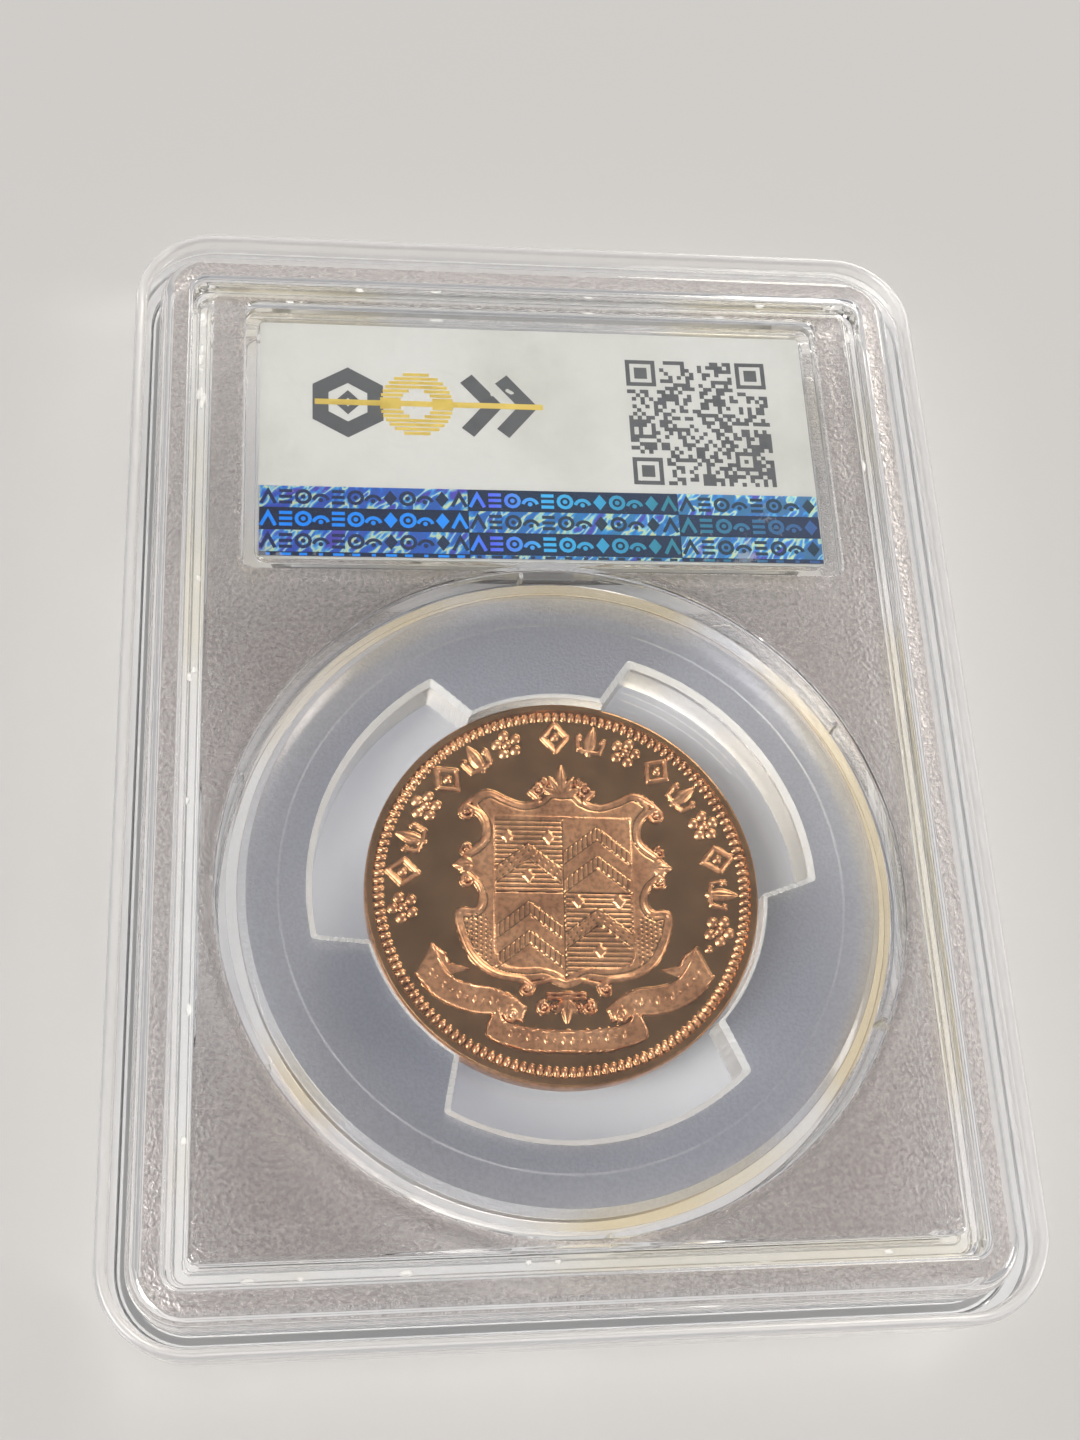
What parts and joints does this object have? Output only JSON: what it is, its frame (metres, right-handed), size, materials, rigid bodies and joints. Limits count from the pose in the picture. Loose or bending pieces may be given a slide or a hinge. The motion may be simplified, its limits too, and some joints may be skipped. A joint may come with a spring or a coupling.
{
  "type": "graded coin slab",
  "caption": "Flat sealed clear plastic case with a frosted insert gripping a round token, a paper label and a foil strip.",
  "frame": {"origin": "middle of the bottom of the bounding box, in the plane that the front ridge rests on", "axes": "+Z out of the rear face, +Y towards the label's end, +X to the right when the rear face is seen with the label at the top"},
  "size_m": [0.0636, 0.0856, 0.008],
  "materials": {
    "clear_case": "clear polystyrene, polished with fine frosted panels",
    "frosted_insert": "frosted translucent polystyrene with a polished rim",
    "copper": "matt struck copper relief on a toned mirror field",
    "label_paper": "matt white card printed in dark grey and gold",
    "hologram_foil": "iridescent embossed foil"
  },
  "bodies": {
    "root": {"front_shell": "clear_case", "rear_shell": "clear_case", "coin_ring": "frosted_insert", "coin": "copper", "label_card": "label_paper", "hologram_strip": "hologram_foil"}
  },
  "joints": []
}
